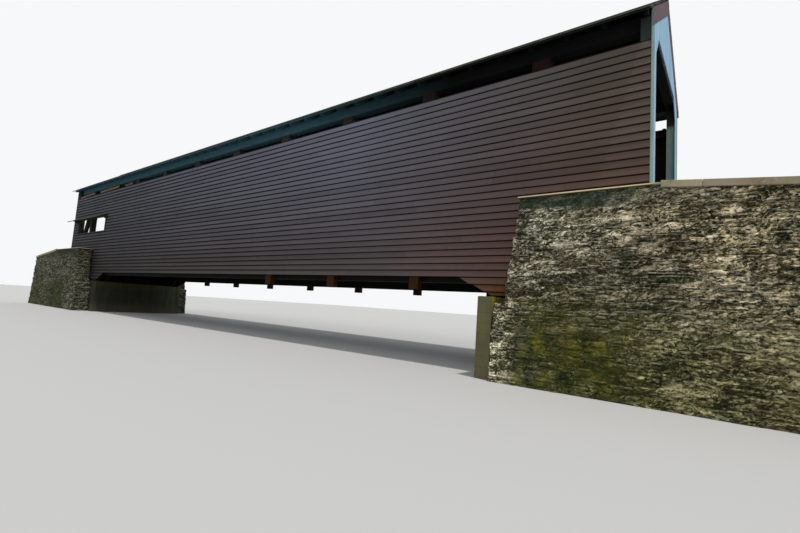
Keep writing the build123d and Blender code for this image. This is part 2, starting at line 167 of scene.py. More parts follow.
# Materials
class Graph:
    """Short names for the nodes of one material."""

    def __init__(self, name):
        self.material = bpy.data.materials.new(name)
        self.material.use_nodes = True
        self.tree = self.material.node_tree
        self.shader = self.tree.nodes["Principled BSDF"]
        self.place = self.node("ShaderNodeTexCoord", {}).outputs["Object"]
        self.x, self.y, self.z = self.axes(self.place)
        self.tone = self.attribute("tone")
        self.colour = None

    def node(self, kind, inputs, **settings):
        """New node with its settings and with a number, a colour or a link for each named input."""
        made = self.tree.nodes.new(kind)
        for setting, value in settings.items():
            setattr(made, setting, value)
        for socket, value in inputs.items():
            self.link(value, made.inputs[socket])
        return made

    def link(self, source, socket):
        if isinstance(source, (int, float)):
            socket.default_value = source
        elif isinstance(source, tuple):
            socket.default_value = source if len(source) == len(socket.default_value) else (*source, 1.0)
        else:
            self.tree.links.new(source, socket)

    def axes(self, vector):
        """The three numbers of a vector."""
        split = self.node("ShaderNodeSeparateXYZ", {0: vector})
        return [split.outputs[letter] for letter in "XYZ"]

    def normal(self, letter):
        """One part of the surface's direction."""
        geometry = self.node("ShaderNodeNewGeometry", {})
        return self.axes(geometry.outputs["Normal"])["XYZ".index(letter)]

    def stretch(self, scale, vector=None):
        """Coordinates multiplied by a number for each axis."""
        inputs = {0: vector or self.place, 1: scale}
        return self.node("ShaderNodeVectorMath", inputs, operation="MULTIPLY").outputs[0]

    def warp(self, amount, scale):
        """Coordinates pushed about by a fine noise."""
        inputs = {"Vector": self.place, "Scale": scale, "Detail": 5.0, "Roughness": 0.65}
        noise = self.node("ShaderNodeTexNoise", inputs)
        push = {0: noise.outputs["Color"], 1: (amount, amount, amount), 2: self.place}
        return self.node("ShaderNodeVectorMath", push, operation="MULTIPLY_ADD").outputs[0]

    def slant(self, vector, rise):
        """Coordinates whose level lines rise along the bridge."""
        x, y, z = self.axes(vector)
        level = self.math("SUBTRACT", z, self.times(x, rise))
        return self.node("ShaderNodeCombineXYZ", {"X": x, "Y": y, "Z": level}).outputs[0]

    def noise(self, scale, detail=4.0, roughness=0.55, vector=None, distortion=0.0):
        inputs = {"Vector": vector or self.place, "Scale": scale, "Detail": detail, "Roughness": roughness}
        return self.node("ShaderNodeTexNoise", {**inputs, "Distortion": distortion}).outputs["Fac"]

    def cells(self, vector):
        """Random value and distance from the middle for each cell of a cell texture."""
        texture = self.node("ShaderNodeTexVoronoi", {"Vector": vector, "Scale": 1.0, "Randomness": 1.0})
        return self.axes(texture.outputs["Color"])[0], texture.outputs["Distance"]

    def attribute(self, name):
        return self.node("ShaderNodeAttribute", {}, attribute_name=name).outputs["Fac"]

    def math(self, operation, first, second=0.5):
        return self.node("ShaderNodeMath", {0: first, 1: second}, operation=operation).outputs[0]

    def times(self, *values):
        """Product of one value or more."""
        product = values[0]
        for value in values[1:]:
            product = self.math("MULTIPLY", product, value)
        return product

    def total(self, *terms):
        """Sum of terms, each a value or a value and its weight."""
        result = self.times(*terms[0])
        for term in terms[1:]:
            result = self.math("ADD", result, self.times(*term))
        return result

    def off(self, value, middle=0.0):
        """Distance of a value from a middle."""
        return self.math("ABSOLUTE", self.math("SUBTRACT", value, middle))

    def remap(self, value, low, high, to_low=0.0, to_high=1.0):
        """Value carried from one range to another and held at its ends."""
        inputs = {"Value": value, "From Min": low, "From Max": high, "To Min": to_low, "To Max": to_high}
        return self.node("ShaderNodeMapRange", inputs).outputs["Result"]

    def along(self, *ranges):
        """0 to 1, or another range, between two places along the bridge."""
        return self.remap(self.x, *ranges)

    def up(self, *ranges):
        """0 to 1, or another range, between two heights."""
        return self.remap(self.z, *ranges)

    def blots(self, low, high, *noise):
        """Soft-edged patches where a noise rises from low to high."""
        return self.remap(self.noise(*noise), low, high)

    def mix(self, amount, first, second, blend="MIX"):
        inputs = {"Factor": amount, "A": first, "B": second}
        return self.node("ShaderNodeMix", inputs, data_type="RGBA", blend_type=blend).outputs["Result"]

    def lay(self, other, *amounts):
        """Lays another colour over the material's colour by the product of the amounts."""
        self.colour = self.mix(self.times(*amounts), self.colour, other)

    def tint(self, factor, *amounts):
        """Multiplies the material's colour by a factor by the product of the amounts."""
        self.lay(self.mix(1.0, self.colour, factor, "MULTIPLY"), *amounts)

    def ramp(self, value, *stops):
        """Colours at rising values and blends between them."""
        made = self.node("ShaderNodeValToRGB", {"Fac": value})
        elements = made.color_ramp.elements
        elements[0].position, elements[1].position = stops[0][0], stops[-1][0]
        elements[0].color, elements[1].color = (*stops[0][1], 1.0), (*stops[-1][1], 1.0)
        for position, colour in stops[1:-1]:
            elements.new(position).color = (*colour, 1.0)
        return made.outputs["Color"]

    def shades(self, value, low, high, dark, light):
        """Dark to light colour as a value rises from low to high."""
        return self.ramp(self.remap(value, low, high), (0.0, dark), (1.0, light))

    def bump(self, height, distance):
        """Surface direction from a height, with the relief's depth in metres."""
        inputs = {"Height": height, "Distance": distance, "Strength": 1.0}
        return self.node("ShaderNodeBump", inputs).outputs["Normal"]

    def close(self, roughness, normal=None, gloss=0.08):
        """Joins colour, roughness, bump and gloss to the shader."""
        self.link(self.colour, self.shader.inputs["Base Color"])
        self.link(roughness, self.shader.inputs["Roughness"])
        self.shader.inputs["Specular IOR Level"].default_value = gloss
        if normal is not None:
            self.link(normal, self.shader.inputs["Normal"])
        return self.material


def scaled(colour, factor):
    return tuple(factor * channel for channel in colour)


def wood(name, dark, light, along="X", moss=0.0, far_painted_light=None, top_painted_shade=0.0, foot=None):
    """Sawn, aged timber with its grain along one axis, stains and checks; where asked, moss, painted light
    far off, a tint at the foot and painted shade at the top.
    """
    g = Graph(name)
    grain = g.stretch(tuple(1.0 if letter == along else 16.0 for letter in "XYZ"))
    fibres = g.noise(3.0, 6.0, 0.65, grain, 0.4)
    stains = g.noise(0.9, 4.0, 0.6)
    shade = g.total((fibres, 0.5), (stains, 0.35), (g.tone, 0.28))
    g.colour = g.shades(shade, 0.25, 0.95, dark, light)
    checks = g.blots(0.62, 0.70, 1.6, 3.0, 0.5, grain)
    g.lay(scaled(dark, 0.35), checks, 0.5)
    if moss:
        patch = g.blots(0.52, 0.66, 2.2, 6.0, 0.7)
        upward = g.remap(g.normal("Z"), 0.2, 0.8)
        g.lay((0.07, 0.10, 0.025), patch, upward, moss)
    # Painted light on far, upper parts of the timbers, teal painted skylight on the eave and roof timbers
    if far_painted_light:
        tint = g.mix(g.remap(fibres, 0.3, 0.7), scaled(far_painted_light, 0.6), scaled(far_painted_light, 1.4))
        g.lay(tint, g.along(11.0, 5.0), g.up(3.4, 4.0), 0.8)
    if foot:
        g.tint(foot, g.up(2.4, 2.1))
    # Painted shade at the top, under the eave
    if top_painted_shade:
        g.lay((0.014, 0.016, 0.014), g.up(6.40, 6.50), top_painted_shade)
    height = g.total((fibres,), (checks, -0.6))
    return g.close(g.remap(fibres, 0.2, 0.9, 0.7, 0.92), g.bump(height, 0.004))


def painted_siding():
    """Old red-brown paint on lapped boards, redder low near the right end, darker far off; painted skylight
    makes it lighter, greyer and bluish higher up, and painted shadow lies under each lap.
    """
    g = Graph("old_red_brown_paint")
    fibres = g.noise(2.2, 6.0, 0.7, g.stretch((1.2, 20.0, 34.0)), 0.3)
    blotch = g.noise(0.45, 5.0, 0.62)
    streak = g.noise(1.0, 4.0, 0.6, g.stretch((9.0, 9.0, 0.7)))
    low_colour = g.mix(g.along(13.6, 9.0), (0.086, 0.047, 0.038), (0.068, 0.058, 0.059))
    low_colour = g.mix(g.along(6.0, -8.0), low_colour, (0.034, 0.033, 0.034))
    # Colour high up with painted skylight, which makes it lighter, greyer and bluish; darker far off
    high_colour_painted_skylight = g.mix(g.along(7.0, -9.0), (0.139, 0.144, 0.184), (0.074, 0.086, 0.101))
    high_colour_painted_skylight = g.mix(g.along(8.0, 14.5), high_colour_painted_skylight, (0.090, 0.076, 0.064))
    g.colour = g.mix(g.up(2.6, 6.4), low_colour, high_colour_painted_skylight)
    g.tint((1.22, 1.22, 1.22), g.up(3.7, 2.5), g.along(6.5, 11.0))
    g.tint((1.01, 0.74, 0.28), g.up(2.15, 1.85), g.along(11.6, 12.6))
    shade = g.total((g.tone, 0.30), (blotch, 0.30), (fibres, 0.40), (streak, 0.10))
    g.tint(g.remap(shade, 0.30, 0.80, 0.72, 1.30), 1.0)
    # Painted shadow under each lap, thicker farther off, and a darker, redder strip along each board's
    # lower edge, by the height within the course
    below_all = siding_bottom - 50 * course
    within = g.math("FRACT", g.math("DIVIDE", g.math("SUBTRACT", g.z, below_all), course))
    farther = g.along(8.0, -12.0, 0.0, 0.28)
    lap_painted_shadow = g.remap(g.total((within,), (farther,), (streak, 0.05)), 0.82, 0.89)
    g.lay((0.010, 0.005, 0.004), lap_painted_shadow, 0.96)
    g.lay((0.052, 0.026, 0.022), g.remap(within, 0.10, 0.0), 0.35)
    spots = g.blots(0.70, 0.76, 7.0, 3.0, 0.6, g.stretch((1.0, 1.0, 1.4)))
    g.lay((0.035, 0.022, 0.020), spots, 0.5)
    inside = g.math("LESS_THAN", g.times(g.normal("Y"), g.y), 0.0)
    g.lay((0.016, 0.011, 0.010), inside)
    height = g.total((fibres,), (blotch, 0.6))
    return g.close(g.remap(fibres, 0.2, 0.9, 0.62, 0.85), g.bump(height, 0.003))


def white_paint():
    """White paint blued by painted skylight, greenish grey on the outermost boards, worn low down."""
    g = Graph("white_board_paint")
    fibres = g.noise(2.0, 6.0, 0.65, g.stretch((22.0, 22.0, 1.2)), 0.3)
    blotch = g.noise(1.2, 5.0, 0.6)
    shade = g.total((g.tone, 0.35), (fibres, 0.35), (blotch, 0.30))
    # The blue in the white is painted skylight
    g.colour = g.shades(shade, 0.2, 0.8, (0.185, 0.345, 0.500), (0.300, 0.520, 0.700))
    green = g.shades(blotch, 0.3, 0.7, (0.075, 0.135, 0.110), (0.170, 0.270, 0.250))
    g.lay(green, g.remap(g.off(g.y), half_width - 0.33, half_width - 0.27), 0.85)
    # Worn patches of the paint
    worn = g.blots(0.60, 0.72, 3.5, 6.0, 0.72, g.stretch((6.0, 6.0, 1.0)))
    g.lay((0.20, 0.25, 0.29), worn, 0.5)
    g.lay((0.21, 0.24, 0.19), g.up(4.2, 2.1), g.remap(blotch, 0.3, 0.7), 0.4)
    behind = g.math("LESS_THAN", g.times(g.normal("X"), g.x), 0.0)
    g.lay((0.020, 0.017, 0.014), behind)
    return g.close(0.6, g.bump(fibres, 0.003), 0.3)


def rubble():
    """Dark olive-grey schist in thin rough plates with painted highlights on their upper edges and painted
    shadow below them, mortar smears, damp and moss.
    """
    g = Graph("rubble_stone")
    band = g.attribute("band")
    loose = g.slant(g.warp(0.20, 2.6), 0.20)
    slab_value, slab_middle = g.cells(g.stretch((3.6, 3.6, 9.0), loose))
    chip_value, chip_middle = g.cells(g.stretch((15.0, 15.0, 32.0), loose))
    flake_value, flake_middle = g.cells(g.stretch((30.0, 30.0, 52.0), loose))
    beds = g.noise(1.0, 10.0, 0.80, g.stretch((5.5, 5.5, 16.0), loose), 0.6)
    crinkle = g.noise(1.0, 9.0, 0.78, g.stretch((10.0, 10.0, 22.0), loose), 0.9)
    fold = g.noise(1.0, 3.0, 0.50, g.stretch((1.7, 1.7, 4.2), loose), 0.6)
    plate = g.math("FRACT", g.times(g.total((fold,), (beds, 0.10)), 10.0))
    grains = g.noise(24.0, 5.0, 0.82)
    patches = g.noise(0.8, 5.0, 0.62)
    stones = g.total((g.tone, 0.12), (slab_value, 0.16), (chip_value, 0.16), (flake_value, 0.16))
    shade = g.total((stones,), (beds, 0.80), (patches, 0.22), (grains, 0.50))
    g.colour = g.ramp(
        g.remap(shade, 0.80, 1.27),
        (0.0, (0.008, 0.010, 0.005)),
        (0.25, (0.022, 0.024, 0.011)),
        (0.45, (0.080, 0.079, 0.040)),
        (0.60, (0.220, 0.206, 0.125)),
        (0.76, (0.620, 0.575, 0.410)),
        (1.0, (0.950, 0.900, 0.740)),
    )
    # Tan stone inland, light stone at the foot of the river end and above it
    right_end = g.along(0.0, 1.0)
    g.tint((1.50, 1.32, 1.08), g.along(12.8, 16.5), g.up(0.8, 2.4), 0.8)
    block = g.times(g.along(13.35, 13.05), g.up(1.70, 1.50), right_end)
    g.tint((2.10, 2.10, 1.95), block)
    g.tint((1.22, 1.30, 1.38), g.along(15.2, 14.2), g.up(2.0, 2.8), right_end)
    # Rust, mortar smears, painted highlights on the plates' upper edges and painted shadow in the crevices
    # below them
    g.lay((0.230, 0.150, 0.085), g.blots(0.54, 0.70, 2.3, 5.0, 0.65), 0.35)
    smear = g.blots(0.56, 0.64, 1.5, 7.0, 0.7)
    g.lay((0.260, 0.225, 0.150), smear, g.remap(grains, 0.35, 0.55), 0.45)
    lip_painted_highlight = g.times(g.remap(plate, 0.20, 0.10), g.remap(chip_value, 0.20, 0.50, 0.2, 1.0))
    g.lay((0.780, 0.725, 0.560), lip_painted_highlight, g.remap(patches, 0.36, 0.58, 0.3, 1.0), 0.75)
    crack_painted_shadow = g.times(g.remap(plate, 0.72, 0.86), g.remap(flake_value, 1.0, 0.85))
    g.lay((0.007, 0.009, 0.004), crack_painted_shadow, 0.92)
    # Painted shade over a stretch in the middle of the near wall, dark gaps and joints, painted highlights
    # on upward faces
    shady_x, shady_z, moss_x = 15.1, 1.9, 13.9
    shady = g.times(g.remap(g.off(g.x, shady_x), 1.4, 0.4), g.remap(g.off(g.z, shady_z), 1.0, 0.4))
    g.lay((0.024, 0.028, 0.012), shady, 0.42)
    g.lay((0.012, 0.014, 0.007), g.remap(slab_middle, 0.60, 0.78), 0.55)
    g.lay((0.013, 0.014, 0.007), g.remap(g.attribute("joint"), 0.60, 0.0, 0.0, 0.75))
    upward = g.times(g.remap(g.normal("Z"), 0.25, 0.70), g.remap(flake_value, 0.2, 0.6))
    g.lay((0.520, 0.470, 0.350), upward, 0.60)
    # Calmer, ochre, damp and mossy stone low on the wall
    along = g.off(g.x)
    inland = g.times(g.remap(along, 13.0, 13.5), g.remap(along, 15.8, 14.9, 0.2, 1.0))
    calm = g.times(g.up(1.75, 1.05), g.remap(patches, 0.34, 0.50, 0.3, 1.0))
    plain = g.ramp(
        g.noise(3.0, 7.0, 0.68),
        (0.36, (0.026, 0.032, 0.012)),
        (0.48, (0.125, 0.126, 0.060)),
        (0.60, (0.480, 0.440, 0.270)),
    )
    g.lay(plain, calm, inland, 0.50)
    g.tint((0.78, 0.78, 0.50), g.up(1.9, 0.9), g.remap(along, 13.3, 13.8), 0.85)
    damp = g.times(g.up(2.5, 1.1), inland, g.remap(patches, 0.34, 0.56))
    g.lay((0.036, 0.040, 0.018), damp, 0.15)
    moss_place = g.times(g.remap(g.off(along, moss_x), 2.4, 0.9), g.up(2.0, 0.9))
    tufts = g.blots(0.38, 0.52, 1.1, 8.0, 0.70)
    moss = g.times(tufts, g.remap(moss_place, 0.0, 1.0, 0.15, 1.0))
    moss_colour = g.ramp(
        g.noise(3.4, 6.0, 0.65),
        (0.36, (0.018, 0.030, 0.007)),
        (0.52, (0.070, 0.076, 0.011)),
        (0.66, (0.215, 0.195, 0.020)),
    )
    g.lay(moss_colour, moss, inland, g.up(2.4, 1.6), 0.85)
    # Light specks low on the wall are painted highlights on the stone's ledges
    fleck_painted_highlights = g.remap(crinkle, 0.57, 0.66)
    g.lay((0.620, 0.560, 0.350), fleck_painted_highlights, g.up(2.2, 1.4), 0.65)
    # Wet band under the coping, green growth, and the far end in shade
    wet = g.ramp(
        g.noise(5.0, 7.0, 0.72),
        (0.34, (0.008, 0.016, 0.010)),
        (0.55, (0.030, 0.044, 0.028)),
        (0.75, (0.095, 0.105, 0.070)),
    )
    g.lay(wet, band, 0.92)
    green = g.times(g.blots(0.52, 0.62, 1.3, 8.0, 0.68), g.remap(chip_value, 0.9, 0.5))
    g.lay((0.018, 0.026, 0.010), green, 0.70)
    g.lay((0.024, 0.034, 0.022), g.along(0.0, -1.0), 0.60)
    height = g.total((beds, 0.80), (chip_value, 0.20), (slab_value, 0.30), (crinkle, 0.50), (plate, -0.45))
    middles = g.total((slab_middle, -0.20), (flake_middle, -0.10), (chip_middle, -0.10))
    height = g.times(g.total((height,), (middles,), (grains, 0.30)), g.remap(band, 0.0, 1.0, 1.0, 0.30))
    return g.close(0.92, g.bump(height, 0.060))


def coping_material():
    """Weathered pale slabs; beside the timber house painted sunlight lightens them, and their lower edge is
    dark with stain and painted shade.
    """
    g = Graph("coping_stone")
    grains = g.noise(14.0, 7.0, 0.7)
    blotch = g.noise(1.6, 5.0, 0.6)
    shade = g.total((g.tone, 0.3), (blotch, 0.5), (grains, 0.3))
    g.colour = g.shades(shade, 0.3, 0.85, (0.185, 0.157, 0.098), (0.415, 0.364, 0.240))
    g.lay((0.120, 0.120, 0.070), g.blots(0.56, 0.68, 5.0, 6.0, 0.7), 0.6)
    g.lay((0.46, 0.42, 0.32), g.blots(0.60, 0.68, 11.0, 6.0, 0.75), 0.5)
    beside = g.remap(g.off(g.x), half_length + 0.20, half_length + 0.10)
    worn = g.shades(blotch, 0.3, 0.7, (0.460, 0.385, 0.220), (0.750, 0.650, 0.430))
    # Painted sunlight on the slabs beside the timber house, most at the right end
    g.lay(worn, beside, g.along(-1.0, 1.0, 0.35, 1.0))
    slab_top = g.along(-1.0, 1.0, coping_tops[-1], coping_tops[1])
    # Dark lower edge beside the house: damp stain and painted shade under the slab's top
    drip_stain_and_painted_shade = g.remap(g.math("SUBTRACT", slab_top, g.z), 0.55 * coping_thin, 0.65 * coping_thin)
    g.lay((0.070, 0.064, 0.019), beside, drip_stain_and_painted_shade)
    return g.close(0.9, g.bump(grains, 0.006))


def concrete_material():
    """Streaked concrete, olive on the edge that faces right, with painted shade at the far end."""
    g = Graph("stained_concrete")
    grains = g.noise(22.0, 7.0, 0.7)
    blotch = g.noise(1.1, 5.0, 0.6)
    streak = g.noise(1.0, 5.0, 0.65, g.stretch((8.0, 8.0, 0.6)))
    shade = g.total((blotch, 0.6), (streak, 0.4))
    g.colour = g.shades(shade, 0.3, 0.7, (0.088, 0.080, 0.038), (0.158, 0.145, 0.076))
    top = g.times(g.up(1.20, 1.50), g.remap(blotch, 0.3, 0.6, 0.6, 1.0))
    g.lay((0.085, 0.090, 0.056), top, 0.5)
    g.lay((0.340, 0.285, 0.035), top, g.remap(g.normal("X"), 0.3, 0.7))
    # Painted shade at the far end: a shaded copy on the front and a lit copy towards the back
    shade_side = g.shades(streak, 0.3, 0.7, (0.008, 0.010, 0.009), (0.026, 0.028, 0.024))
    lit_side = g.shades(streak, 0.3, 0.7, (0.020, 0.026, 0.018), (0.070, 0.078, 0.056))
    far_colour = g.mix(g.remap(g.y, 0.4, 1.9), shade_side, lit_side)
    g.lay(far_colour, g.along(0.0, -1.0), 0.9)
    g.lay((0.105, 0.095, 0.056), g.up(0.6, 0.0), 0.6)
    form_board = 0.22
    seam = g.remap(g.math("FRACT", g.math("DIVIDE", g.z, form_board)), 0.06, 0.0)
    return g.close(0.88, g.bump(g.total((grains, 0.4), (seam, -0.5)), 0.008))


def shingle_material():
    """Grey wooden shingles, mossy towards the eave and green at its edge."""
    g = Graph("mossy_shingles")
    fibres = g.noise(2.2, 6.0, 0.7, g.stretch((24.0, 3.0, 3.0)))
    shade = g.total((g.tone, 0.55), (fibres, 0.4))
    g.colour = g.ramp(
        g.remap(shade, 0.2, 0.85),
        (0.0, (0.045, 0.045, 0.040)),
        (0.5, (0.100, 0.098, 0.086)),
        (1.0, (0.190, 0.182, 0.160)),
    )
    patch = g.blots(0.50, 0.66, 0.9, 8.0, 0.72)
    g.lay((0.085, 0.115, 0.028), patch, g.up(8.2, 7.0, 0.15, 1.0), 0.8)
    tufts = g.blots(0.40, 0.58, 1.4, 5.0, 0.6)
    g.lay((0.050, 0.085, 0.018), g.up(7.06, 7.02), tufts, 0.85)
    return g.close(0.9, g.bump(fibres, 0.004))


def deck_material():
    """Planks worn pale in two wheel tracks."""
    g = Graph("worn_planks")
    fibres = g.noise(2.0, 6.0, 0.7, g.stretch((16.0, 1.2, 16.0)), 0.3)
    shade = g.total((g.tone, 0.45), (fibres, 0.5))
    g.colour = g.shades(shade, 0.2, 0.85, (0.085, 0.068, 0.050), (0.250, 0.212, 0.165))
    half_track = 0.78
    track = g.remap(g.off(g.off(g.y), half_track), 0.35, 0.08)
    g.lay((0.30, 0.27, 0.23), track, g.blots(0.3, 0.7, 0.8, 4.0, 0.6), 0.55)
    return g.close(0.82, g.bump(fibres, 0.004))


def iron_material():
    g = Graph("rusty_iron")
    rust = g.noise(18.0, 6.0, 0.7)
    g.colour = g.shades(rust, 0.3, 0.75, (0.040, 0.030, 0.026), (0.150, 0.070, 0.035))
    return g.close(0.75, g.bump(rust, 0.001), 0.3)


siding_paint = painted_siding()
rake_paint = wood("rake_paint", (0.060, 0.038, 0.045), (0.190, 0.140, 0.160), "Y")
portal_paint = white_paint()
stone = rubble()
coping_stone = coping_material()
concrete = concrete_material()
shingle = shingle_material()
planks = deck_material()
iron = iron_material()
# The near-black of the chords, cross timbers, rafters and roof boards is aged dark wood deepened by painted
# shade
long_timber = wood("long_timber", (0.004, 0.004, 0.004), (0.014, 0.012, 0.010))
eave_timber = wood(
    "eave_timber", (0.004, 0.005, 0.005), (0.020, 0.021, 0.019), far_painted_light=(0.080, 0.190, 0.240)
)
cross_timber = wood("cross_timber", (0.004, 0.004, 0.004), (0.016, 0.013, 0.011), "Y")
post_timber = wood(
    "post_timber",
    (0.014, 0.008, 0.006),
    (0.062, 0.028, 0.019),
    "Z",
    far_painted_light=(0.050, 0.050, 0.044),
    foot=(1.20, 0.95, 0.34),
)
roof_timber = wood(
    "roof_timber", (0.004, 0.006, 0.006), (0.018, 0.022, 0.021), "Y", far_painted_light=(0.080, 0.195, 0.245)
)
grey_timber = wood("grey_timber", (0.158, 0.248, 0.223), (0.353, 0.474, 0.432), "Z", top_painted_shade=0.92)
hood_timber = wood("hood_timber", (0.030, 0.028, 0.020), (0.090, 0.080, 0.058), moss=0.9)
# Light tan of painted sunlight on the loose boards
painted_sunlit_timber = wood("painted_sunlit_timber", (0.050, 0.038, 0.034), (0.320, 0.185, 0.120))


# Side boards
def board_chain(soup, side, starts, stops, low, high, tone):
    """One lapped board, its slanted or upright ends given at its lower and upper edge."""
    crooked, wavy, sagging = 0.0016, 0.0012, 0.0009
    span = max(stops) - min(starts)
    count = max(1, round(span / stud_pitch))
    lift = rng.normal(0.0, crooked)
    rings = []
    for i in range(count + 1):
        t = i / count
        outer = half_width - 0.001 - abs(rng.normal(0.0, wavy))
        bottom = low + lift + rng.normal(0.0, sagging)
        x_low, x_high = (a + (b - a) * t for a, b in zip(starts, stops))
        tip = outer - (board_butt - board_tip)
        rings.append(
            [
                (x_low, side * outer, bottom),
                (x_high, side * tip, high),
                (x_high, side * (tip - board_tip), high),
                (x_low, side * (outer - board_butt), bottom),
            ]
        )
    soup.loft(rings, tone)


def flare_edge(end, height):
    """Place of the slanted lower edge at a height."""
    rise = (height - siding_low[2]) / flare_drop * flare_run
    return right_face - rise if end > 0 else left_face + rise


def course_spans(low, high):
    """Stretches of wall between two heights, each with its ends at the lower and upper edge."""
    left, right = (-wall_end, -wall_end), (wall_end, wall_end)
    near_zero = 0.001
    if low < siding_bottom - near_zero:
        left_slant = (flare_edge(-1, low), flare_edge(-1, high))
        right_slant = (flare_edge(1, low), flare_edge(1, high))
        return [(left, left_slant), (right_slant, right)]
    if high > window_low[2] + near_zero and low < window_high[2] - near_zero:
        return [(left, (window_low[0], window_low[0])), ((window_high[0], window_high[0]), right)]
    return [(left, right)]


def build_siding(side, name):
    """Courses of lapped boards, each course in several lengths, with the window left open."""
    shortest, lengths = 1.2, (3.2, 4.9)
    soup = Soup()
    rows = math.ceil(flare_drop / course)
    for number in range(-rows, course_count):
        low = max(siding_bottom + number * course, siding_low[2])
        high = siding_bottom + (number + 1) * course
        top = high + (board_lap if number < course_count - 1 else 0.0)
        row_tone = rng.random()
        for start, stop in course_spans(low, high):
            place = start
            while place[0] < stop[0] - 0.001:
                reach = place[0] + rng.uniform(*lengths)
                last = reach > stop[0] - shortest
                ending = stop if last else (reach, reach)
                gap = 0.0 if last else board_gap
                tone = 0.55 * row_tone + 0.45 * rng.random()
                board_chain(soup, side, place, (ending[0] - gap, ending[1] - gap), low, top, tone)
                place = (ending[0] + gap, ending[1] + gap)
        if low < window_high[2] < high:
            ends_x = ((window_low[0], window_low[0]), (window_high[0], window_high[0]))
            board_chain(soup, side, *ends_x, window_high[2], high + board_lap, rng.random())
    soup.piece(f"{name}_side_boards", siding_paint, (f"{name}_siding",))


def build_nails(side, name):
    """Nail heads in rows over the studs."""
    height, radius, corners = 0.035, 0.0055, 6
    sunk, proud = 0.004, 0.0006
    turns = [i * math.tau / corners for i in range(corners)]
    soup = Soup()
    for column in range(stud_count):
        x = -half_length + stud_inset + column * stud_pitch
        for number in range(course_count):
            z = siding_bottom + number * course + height
            if window_low[0] < x < window_high[0] and window_low[2] - 0.02 < z < window_high[2]:
                continue
            cx = x + rng.normal(0.0, 0.010)
            cz = z + rng.normal(0.0, 0.006)
            face = half_width - height / course * (board_butt - board_tip)
            ring = [(cx + radius * math.cos(a), cz + radius * math.sin(a)) for a in turns]
            soup.loft([[(u, side * y, v) for u, v in ring] for y in (face - sunk, face + proud)], 0.5)
    soup.piece(f"{name}_side_nails", iron)


def build_loose_boards():
    """Short odd boards left above the siding near the far end, light tan with painted sunlight."""
    soup = Soup()
    width = 0.085
    front = -half_width + 0.012
    back = front + board_tip + 0.010
    low = siding_top + 0.004
    boards = ((-14.95, -12.60, 0.045, 0.45), (-11.75, -9.15, 0.050, 0.70), (-8.35, -7.45, 0.010, 0.10))
    for start, stop, lift, tone in boards:
        ring = [(front, low), (back, low), (back, low + width), (front, low + width)]
        soup.loft([[(x, y, z + rise) for y, z in ring] for x, rise in ((start, 0.0), (stop, lift))], tone)
    soup.piece("front_loose_boards", painted_sunlit_timber)


build_loose_boards()
for side_name, side in sides:
    build_siding(side, side_name)
    build_nails(side, side_name)


# Portals
def roof_line(y):
    """Underside of the roof at a distance from the middle."""
    return ridge_height - slope * abs(y)


def door_line(y):
    """Top of the roadway opening, or None outside it."""
    y = abs(y)
    if y > door_half:
        return None
    edge = door_half - door_corner[0]
    if y <= edge:
        return door_top
    return door_top - (y - edge) / door_corner[0] * door_corner[1]


def build_portal(end, name):
    """White upright boards over the gable and jambs."""
    board, narrowest, half_gap = 0.150, 0.004, 0.002
    soup = Soup()
    near = end * (wall_end + 0.001)
    low = portal_low[2]
    count = round(2 * half_width / board)
    width = 2 * half_width / count
    edges = [-half_width + i * width for i in range(count + 1)]
    corner = door_half - door_corner[0]
    cuts = sorted(set(edges + [-door_half, door_half, -corner, corner, 0.0]))
    for a, b in zip(cuts, cuts[1:]):
        if b - a < narrowest:
            continue
        tone = rng.random()
        gap_a, gap_b = (half_gap if any(abs(cut - e) < 1e-6 for e in edges) else 0.0 for cut in (a, b))
        ya, yb = a + gap_a, b - gap_b
        front = end * (half_length - 0.0015 - rng.uniform(0.0, 0.0025))
        bottoms = (low, low)
        if door_line((a + b) / 2) is not None:
            bottoms = (door_line(ya) or low, door_line(yb) or low)
        ring = [(ya, bottoms[0]), (yb, bottoms[1]), (yb, roof_line(yb)), (ya, roof_line(ya))]
        soup.prism(ring, near, front, tone)
    soup.piece(f"{name}_portal_boards", portal_paint, (f"{name}_portal",))


def build_rakes(end, name):
    """Dark rake boards under the roof's edges."""
    soup = Soup()
    inner = half_length - 0.001
    outer = portal_high[0] - 0.0005
    for side in (-1, 1):
        ring = [
            (0.001 * side, ridge_height),
            (half_width * side, eave_height),
            (half_width * side, eave_height - rake_depth),
            (0.001 * side, ridge_height - rake_depth),
        ]
        soup.prism(ring, end * inner, end * outer, rng.random())
    soup.piece(f"{name}_rake_boards", rake_paint)


for end_name, end in ends:
    build_portal(end, end_name)
    build_rakes(end, end_name)


# Roof
def roof_point(x, side, along, lift):
    """Point at a distance down the slope from the ridge, lifted square to the roof's underside."""
    y = along * math.cos(roof_angle) + lift * math.sin(roof_angle)
    z = ridge_height - along * math.sin(roof_angle) + lift * math.cos(roof_angle)
    return (x, side * y, z)


def build_roof_boards(side, name, slant):
    """Long boards on the rafters."""
    gap, shortest, lengths = 0.003, 1.5, (3.5, 5.5)
    soup = Soup()
    count = int(slant / 0.190)
    width = slant / count
    for i in range(count):
        a = i * width + (0.0 if i == 0 else gap)
        b = (i + 1) * width - gap
        ring = [(a, 0.0), (b, 0.0), (b, roof_board), (a, roof_board)]
        x = roof_low[0]
        while x < roof_high[0] - 0.01:
            reach = x + rng.uniform(*lengths)
            if reach > roof_high[0] - shortest:
                reach = roof_high[0]
            soup.loft([[roof_point(u, side, *p) for p in ring] for u in (x, reach - gap)], rng.random())
            x = reach
    soup.piece(f"{name}_roof_boards", roof_timber)


